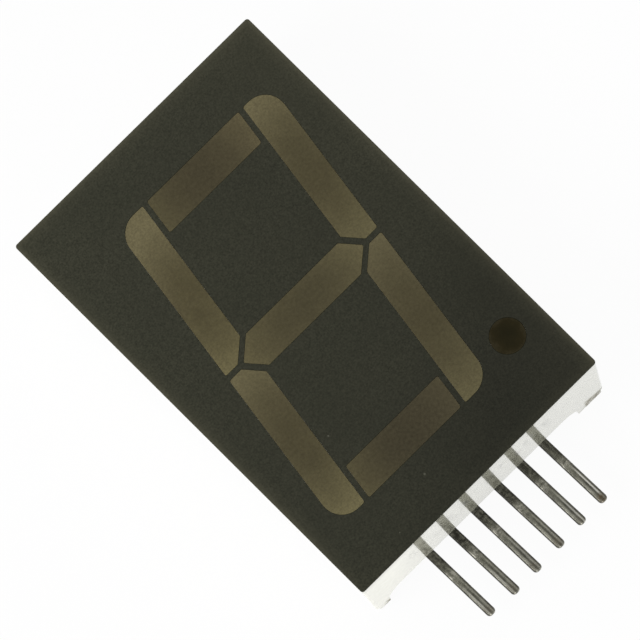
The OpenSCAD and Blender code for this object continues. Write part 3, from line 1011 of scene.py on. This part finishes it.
# %% [markdown]
# ## Finish of the bars
# Unlit, each bar is olive brown: darkest in the middle, where the well is deep, and creamier
# towards its ends, where the white wall shines through. So the tone follows two distances from
# the middle of the bar, one along it and one across it, and a noise makes it uneven. Two grains
# lie over that, a fine dark one and a coarser pale one.

# %% Cast resin of a bar
RESIN_DARK, RESIN_PALE = shade((52, 46, 31)), shade((126, 118, 90))
ELSEWHERE = (-0.05, -0.02, 0)  # so that the two grains don't have the same pattern


def finish_bar(name, middle, directions, halves, tones):
    """Diffusing resin between the tone of the middle and those of the two ends."""
    material, tree, shader = start_material(name)
    where = spot(tree)
    local = shifted(tree, where, middle)
    shares = []
    for direction, half in zip(directions, halves):
        scaled = tuple(c / half for c in direction)
        shares.append(node(tree, "VectorMath", {0: local, 1: scaled}, operation="DOT_PRODUCT").outputs["Value"])
    long_fall, wide_fall = (math_node(tree, "POWER", math_node(tree, "ABSOLUTE", s), 2) for s in shares)
    paler = plus(tree, long_fall, times(tree, wide_fall, 0.12), wobble(tree, where, 1.3, 0.16), clamp=True)
    low_end, core, high_end = (shade(tone) for tone in tones)
    end = mix_colour(tree, math_node(tree, "GREATER_THAN", shares[0], 0), low_end, high_end)
    tone = mix_colour(tree, paler, core, end)
    fine = grain(tree, where, 0.15, detail=1, low=0.17, high=0.83)
    coarse = grain(tree, shifted(tree, where, ELSEWHERE), 0.25, low=0.1, high=0.9)
    tone = mix_colour(tree, times(tree, fine, 0.55), tone, RESIN_DARK)
    tone = mix_colour(tree, times(tree, coarse, 0.2), tone, RESIN_PALE)
    fill(tree, shader, {"Base Color": tone, "Roughness": 0.5, "Specular IOR Level": 0.15,
                        "Normal": bump(tree, 0.15, 0.01, fine)})
    return material


print("resin ready")

# %% Tones of the seven bars
# readings of the lower or left end, the middle, and the upper or right end
RESIN = {"level": ((84, 78, 52), (59, 53, 34), (94, 86, 60)),
         "middle": ((97, 90, 61), (66, 61, 39), (101, 94, 65)),
         "upright": ((110, 103, 71), (71, 65, 41), (117, 109, 78))}
KIND = {**dict.fromkeys("ad", "level"), **dict.fromkeys("bcef", "upright"), "g": "middle"}
# how much brighter each bar is than its kind, in the same three places: painted light, brighter where the light
# falls from the upper left
LIGHT_LIFT = {"a": (0.0, -0.07, 0.02), "b": (-0.04, -0.02, 0.01), "c": (-0.07, -0.07, -0.13),
        "d": (0.01, -0.22, -0.25), "e": (0.07, -0.05, -0.05), "f": (0.2, 0.06, 0.0), "g": (0.04, -0.04, 0.04)}
CORE_LOWER = {"f": 1.6}  # mm by which a bar's dark middle lies lower
for letter, bar in bars.items():
    low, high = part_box("segment_" + letter)
    core = (low + high) / 2 - Vector((0, CORE_LOWER.get(letter, 0) * MM, 0))
    tones = [[c * (1 + share) for c in tone] for tone, share in zip(RESIN[KIND[letter]], LIGHT_LIFT[letter])]
    if KIND[letter] == "upright":
        directions, halves = ((0, 1, 0), (1, -SLANT, 0)), ((high.y - low.y) / 2, BAR_W / 2 * MM)
    else:
        directions, halves = ((1, 0, 0), (0, 1, 0)), ((high.x - low.x) / 2, BAR_T / 2 * MM)
    wear([bar], finish_bar("resin_" + letter, core, directions, halves, tones))
print("bars finished:", len(bars))

# %% [markdown]
# ## Finish of the decimal point
# The point's resin is much darker than the bars. A colour ramp over the distance from its
# middle gives a dark core and a slightly paler rim, and a noise keeps that from being a bull's eye.

# %% Resin of the point
POINT_CORE, POINT_BROWN, POINT_RIM = shade((28, 25, 8)), shade((38, 33, 14)), shade((48, 43, 26))


def finish_point():
    """Very dark brown, with a smudge in the middle and a thin paler rim."""
    material, tree, shader = start_material("resin_point")
    where = spot(tree)
    low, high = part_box("decimal_point")
    middle = (low + high) / 2
    local = shifted(tree, where, (middle.x, middle.y, high.z))
    flat = node(tree, "VectorMath", {0: local, 1: (1, 1, 0)}, operation="MULTIPLY").outputs[0]
    far = node(tree, "VectorMath", {0: flat}, operation="LENGTH").outputs["Value"]
    far = math_node(tree, "DIVIDE", far, (high.x - low.x) / 2)
    scale = node(tree, "ValToRGB", {0: plus(tree, far, wobble(tree, where, 0.9, 0.5))})
    stops = scale.color_ramp.elements
    stops[0].position, stops[0].color = 0.1, (*POINT_CORE, 1)
    stops[1].position, stops[1].color = 0.75, (*POINT_BROWN, 1)
    stops.new(0.97).color = (*POINT_RIM, 1)
    fine = grain(tree, where, 0.12, detail=1)
    tone = mix_colour(tree, times(tree, fine, 0.35), scale.outputs[0], shade((30, 26, 12)))
    fill(tree, shader, {"Base Color": tone, "Roughness": 0.6, "Specular IOR Level": 0.08})
    return material


wear([point], finish_point())
print("point finished")

# %% [markdown]
# ## Finish of the box
# The box is glossy white plastic. A clear coat over a smooth base mirrors the pins in the wall
# above them, and a painted reflection, dark and mottled in a column above each pin, makes that
# mirror image stronger. Painted shade makes the box greyer towards the digit's right, most on that
# wall, and that wall has a band of painted shade under the face. On it there are faint grey
# scuffs. The feet of the two legs beside the recess are darker, the right one most. Ramps over x,
# y and z say where each mark can be, and noise breaks it up. The noise is stretched upwards,
# because that wall is rubbed up and down when the display is fitted.

# %% Where the pins leave the wall
in_body = PIN_LAP + END_DRAFT + WALL + BOARD_GAP
pin_foot = [x + in_body * math.sin(math.radians(lean)) for x, lean in zip(pin_x, PIN_LEAN)]
print("the pins leave the wall at x =", [round(x, 2) for x in pin_foot])

# %% Marks on the white plastic: the painted reflection of the pins, and the darker feet
# the second colour here is a painted reflection of the pins, and the third makes the feet darker
SCUFF, PIN_REFLECTION, FEET_DARK = shade((140, 141, 142)), shade((84, 79, 64)), shade((138, 132, 118))
LEG_X = 10.3


def painted_pin_reflection_at(tree, x, z, on_front, wiped):
    """How strong the painted reflection of the pins is: blots in a column above each pin, leaning left as the
    mirrored pins do.
    """
    column = times(tree, ramp(tree, z, 2.4, 3.6), ramp(tree, z, 9.6, 7.0), on_front)
    column = times(tree, column, grain(tree, wiped, 0.38, low=0.4, high=0.62))
    leaning = plus(tree, x, times(tree, z, 0.05))
    amount = plus(tree, 0.0, *(ramp(tree, off(tree, leaning, foot + 0.1), 0.5, 0.25) for foot in pin_foot))
    return times(tree, amount, column)


def feet_darkening_at(tree, x, y, z):
    """How much darker: a band at the foot of each leg, thicker towards the recess, and a trace on all pads."""
    breakup = grain(tree, spot(tree), 0.5, detail=3, low=0.25, high=0.55)
    front = ramp(tree, y, face_low.y / MM + 2.5, face_low.y / MM + 1.2)
    outward = minus(tree, off(tree, x), LEG_X * MM)
    right, left = ramp(tree, x, LEG_X, LEG_X + 0.2), ramp(tree, x, -LEG_X + 0.1, -LEG_X)
    left = times(tree, left, ramp(tree, outward, 1.6, 1.0))
    amount = ramp(tree, z, 0.9, 0.3, 0.2)
    for leg, height, strength in ((right, 2.0, 0.85), (left, 1.4, 1.0)):
        top = minus(tree, height * MM, times(tree, outward, 0.4))
        low_down = ramp(tree, minus(tree, top, z), -0.3, 0.5)
        amount = math_node(tree, "MAXIMUM", amount, times(tree, low_down, leg, front, strength))
    return times(tree, amount, breakup)


print("marks ready")

# %% White plastic
# Painted shade: the white grows greyer to the right, most on the wall with the pins, and darker in a band under
# the face.
WHITE_LEFT, WHITE_IN_SHADE, CLOUD = shade((243, 242, 221)), shade((218, 218, 202)), shade((203, 203, 187))
FRONT_SHADE, SHADE_UNDER_FACE = shade((178, 178, 158)), shade((120, 117, 96))


def box_tone_and_shade(tree, x, z, on_front, broad):
    """White, with painted shade making it greyer to the right and under the face, and a little cloudy."""
    tone = mix_colour(tree, ramp(tree, x, -9, -1), WHITE_LEFT, WHITE_IN_SHADE)
    tone = mix_colour(tree, times(tree, ramp(tree, x, -9, -1, 0.8), on_front), tone, FRONT_SHADE)
    tone = mix_colour(tree, times(tree, ramp(tree, z, 9.4, 10.4, 0.3), on_front), tone, SHADE_UNDER_FACE)
    return mix_colour(tree, times(tree, broad, 0.25), tone, CLOUD)


def finish_box():
    """Glossy white plastic with scuffs, painted shade, a painted reflection above the pins and darker feet on
    the legs.
    """
    material, tree, shader = start_material("white_plastic")
    where = spot(tree)
    x, y, z = xyz(tree, where)
    wiped = node(tree, "Mapping", {"Vector": where, "Scale": (1, 1, 0.22)}).outputs[0]
    broad = grain(tree, wiped, 2.5)
    on_front = math_node(tree, "LESS_THAN", y, face_low.y + 0.4 * MM)
    zone = times(tree, ramp(tree, z, 5.2, 6.4), ramp(tree, z, 8.9, 8.1),
                 ramp(tree, off(tree, x), 9.6, 8.4), on_front)
    scuffed = times(tree, zone, grain(tree, wiped, 0.8, detail=3, low=0.5, high=0.72))
    darkening, dark_feet = painted_pin_reflection_at(tree, x, z, on_front, wiped), feet_darkening_at(tree, x, y, z)
    tone = box_tone_and_shade(tree, x, z, on_front, broad)
    tone = mix_colour(tree, times(tree, scuffed, 0.5), tone, SCUFF)
    # painted reflection of the pins in the wall above them
    tone = mix_colour(tree, times(tree, darkening, 0.5), tone, PIN_REFLECTION)
    tone = mix_colour(tree, dark_feet, tone, FEET_DARK)
    # scuffs and the darker feet are dull: the coat is missing there, and the base is rough
    dull = plus(tree, times(tree, scuffed, 0.2), dark_feet, clamp=True)
    rough = between(tree, grain(tree, where, 0.5), 0.16, 0.26)
    fill(tree, shader, {"Base Color": tone, "Roughness": plus(tree, rough, times(tree, dull, 0.6), clamp=True),
                        "Coat Weight": minus(tree, 1.0, dull), "Coat Roughness": 0.03,
                        "Normal": bump(tree, 0.1, 0.01, broad)})
    return material


wear([box], finish_box())
print("box finished")

# %% [markdown]
# ## Finish of the pins
# The pins are tinned, and dull from handling: streaks run along them. Their round edges are
# darker, as painted shade, and near the wall each is darker. A dull middle between two paler
# flanks, more so towards the tip, is a painted reflection. Some have a painted highlight, a bright
# line along a long edge. So the finish is made once for each pin, around that pin's own axis: a
# Mapping node moves the pin's root to the middle and turns its lean away, which leaves one
# coordinate that runs across the pin and one that runs along it.

# %% Tones of tinned metal
# the third tone on this line is painted shade on the pin's round edges
TIN_LOW, TIN_HIGH, EDGE_SHADE = shade((71, 71, 62)), shade((173, 172, 157)), shade((62, 61, 55))
# on this line the first two tones also paint a reflection across the pin, and the third is a painted highlight
DARK_TIN, PALE_TIN, PAINTED_HIGHLIGHT = shade((48, 47, 42)), shade((206, 203, 192)), shade((250, 248, 240))
ROOT_DARK, CUT_BROWN = shade((56, 55, 49)), shade((92, 76, 52))


def tin_with_reflection(tree, mixed, off_axis, out):
    """The strip's tin with a painted reflection: a dull middle between two paler flanks, both stronger towards
    the tip.
    """
    tone = mix_colour(tree, mixed, TIN_LOW, TIN_HIGH)
    outer = plus(tree, ramp(tree, out, 2.8, 4.6), 0.6)
    tone = mix_colour(tree, times(tree, ramp(tree, off_axis, 0.13, 0.02, 0.38), outer), tone, DARK_TIN)
    flank = ramp(tree, off(tree, off_axis, 0.19), 0.08, 0.02, 0.2)
    return mix_colour(tree, times(tree, flank, outer), tone, PALE_TIN)


def highlighted_tin(tree, tone, streak, across, out, shine_at, strength, starts, ends):
    """Adds the painted highlight, a bright line along the pin, and painted shade on the round sides, the left
    one most.
    """
    line = times(tree, ramp(tree, off(tree, across, shine_at), 0.075, 0.035),
                 ramp(tree, out, starts, starts + 1.3), ramp(tree, out, ends + 0.5, ends), strength)
    line = times(tree, line, plus(tree, times(tree, streak, 0.4), 0.6))
    tone = mix_colour(tree, line, tone, PAINTED_HIGHLIGHT)
    for edge, dark in ((-0.4, 0.85), (0.4, 0.55)):
        tone = mix_colour(tree, ramp(tree, off(tree, across, edge), 0.2, 0.08, dark), tone, EDGE_SHADE)
    return tone


def marked_tin(tree, tone, spots, off_axis, out, darkening, brown):
    """Adds the darker root, a lighter patch where it ends, and brown at the tip, where it was cut."""
    fade = times(tree, ramp(tree, out, 2.5, 1.1), plus(tree, times(tree, spots, 0.6), 0.35), darkening)
    tone = mix_colour(tree, fade, tone, ROOT_DARK)
    patch = times(tree, ramp(tree, off(tree, out, 2.4), 0.7, 0.1), ramp(tree, off_axis, 0.36, 0.24), spots, 0.7)
    tone = mix_colour(tree, patch, tone, PALE_TIN)
    cut_end = times(tree, ramp(tree, off(tree, out, 6.35), 0.6, 0.15), ramp(tree, off_axis, 0.38, 0.15),
                    plus(tree, times(tree, spots, 0.5), 0.5), brown)
    return mix_colour(tree, cut_end, tone, CUT_BROWN)


print("tones of the pins ready")

# %% Tinned metal
def finish_pin(number, root, line, darkening, brown):
    """Streaky tin with a painted reflection, painted shade on its sides, a darker root, one painted highlight
    and a brown tip.
    """
    material, tree, shader = start_material("tinned_pin_%d" % number)
    where = spot(tree)
    turn_back = (0, 0, -math.radians(PIN_LEAN[number - 1]))
    own = node(tree, "Mapping", {"Vector": shifted(tree, where, root), "Rotation": turn_back}).outputs[0]
    across, along_it, _ = xyz(tree, own)
    out, off_axis = times(tree, along_it, -1), off(tree, across)
    drawn = node(tree, "Mapping", {"Vector": own, "Scale": (1, 0.1, 1)}).outputs[0]
    streak = grain(tree, drawn, 0.17, detail=4, rough=0.65, low=0.35, high=0.65)
    blotch = grain(tree, where, 0.4, detail=4, rough=0.6, low=0.35, high=0.65)
    spots = grain(tree, where, 0.3, detail=3, low=0.38, high=0.6)
    mixed = plus(tree, times(tree, streak, 0.55), times(tree, blotch, 0.45))
    tone = tin_with_reflection(tree, mixed, off_axis, out)
    tone = highlighted_tin(tree, tone, streak, across, out, *line)
    tone = marked_tin(tree, tone, spots, off_axis, out, darkening, brown)
    fill(tree, shader, {"Base Color": tone, "Metallic": 0.8, "Roughness": between(tree, mixed, 0.5, 0.34),
                        "Normal": bump(tree, 0.5, 0.02, mixed)})
    return material


# one row for each pin: its painted highlight, as the place across the pin, the strength, from and to;
# how dark its root is; how brown its tip is
PIN_HIGHLIGHT_AND_MARKS = (((-0.16, 0.35, 3.2, 6.3), 0.85, 0.3), ((-0.16, 0.3, 3.4, 6.3), 1.0, 0.3),
          ((0.14, 0.15, 2.4, 6.5), 0.95, 0.3), ((0.15, 0.1, 3.4, 6.3), 1.0, 0.4),
          ((0.15, 0.55, 3.6, 6.8), 0.85, 0.2), ((0.15, 1.0, 2.6, 5.7), 0.7, 0.8))
wall_y = BODY_Y - BODY_L / 2
for k, (pin, marks) in enumerate(zip(pins, PIN_HIGHLIGHT_AND_MARKS)):
    wear([pin], finish_pin(k + 1, (pin_foot[k] * MM, wall_y, 0), *marks))
print("pins finished:", len(pins))

# %% [markdown]
# ## Finishes of the back
# The board's mask is green over the weave of its glass cloth, and its cut edges show the bare
# glass fibre. Copper under the mask shows as a slightly lighter green. Where the mask is left
# out the copper is tinned. The other finishes differ only in their two tones, the size of their
# patches and their gloss, so one function makes them all.

# %% Board
MASK_DARK, MASK_PALE = shade((32, 74, 44)), shade((38, 82, 49))
FIBRE_DARK, FIBRE_PALE = shade((150, 146, 96)), shade((172, 168, 118))


def finish_board():
    """Green mask on the flat sides, bare glass fibre on the cut edges."""
    material, tree, shader = start_material("board_mask")
    where = spot(tree)
    weave = [node(tree, "TexWave", {"Vector": where, "Scale": 0.5 / (1.2 * MM), "Distortion": 0.6},
                  bands_direction=direction).outputs["Fac"] for direction in ("X", "Y")]
    cloth = times(tree, plus(tree, *weave), 0.5)
    mask = mix_colour(tree, cloth, MASK_DARK, MASK_PALE)
    facing = xyz(tree, node(tree, "NewGeometry").outputs["Normal"])[2]
    flat = math_node(tree, "GREATER_THAN", math_node(tree, "ABSOLUTE", facing), 0.9)
    fibre = mix_colour(tree, grain(tree, where, 0.3), FIBRE_DARK, FIBRE_PALE)
    fill(tree, shader, {"Base Color": mix_colour(tree, flat, fibre, mask), "Roughness": 0.32,
                        "Normal": bump(tree, 0.25, 0.01, cloth)})
    return material


wear([board], finish_board())
print("board finished")

# %% Copper, tin and the light sources
def finish_mottled(name, first, second, size_mm, rough=(0.3, 0.45), metal=0.0, bump_mm=0.01):
    """A finish of two tones in patches of that size, with a little unevenness."""
    material, tree, shader = start_material(name)
    patches = grain(tree, spot(tree), size_mm, detail=3)
    fill(tree, shader, {"Base Color": mix_colour(tree, patches, shade(first), shade(second)),
                        "Roughness": between(tree, patches, *rough), "Metallic": metal,
                        "Normal": bump(tree, 0.3, bump_mm, patches)})
    return material


masked = finish_mottled("masked_copper", (54, 104, 58), (62, 114, 64), 0.8)
copper = finish_mottled("copper", (190, 140, 96), (206, 156, 110), 0.4, metal=1.0)
tin = finish_mottled("solder", (172, 172, 166), (204, 203, 198), 0.35, rough=(0.22, 0.4), metal=1.0,
                     bump_mm=0.03)
die = finish_mottled("die", (196, 178, 128), (210, 194, 148), 0.1)
gold = finish_mottled("gold_wire", (226, 186, 110), (238, 200, 130), 0.1, metal=1.0)
wear(cad("back_tracks"), masked)
wear(cad("front_tracks", "via_barrels"), copper)
wear(joints + [tinned_pads, via_rings], tin)
wear(cad("led_die_point", *("led_dies_" + letter for letter in bars)), die)
wear(cad("bond_wire_point", *("bond_wires_" + letter for letter in bars)), gold)
print("back finished")

# %% Sizes and the end
low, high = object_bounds()
print("visual size in mm:", [round(v / MM, 2) for v in high - low])
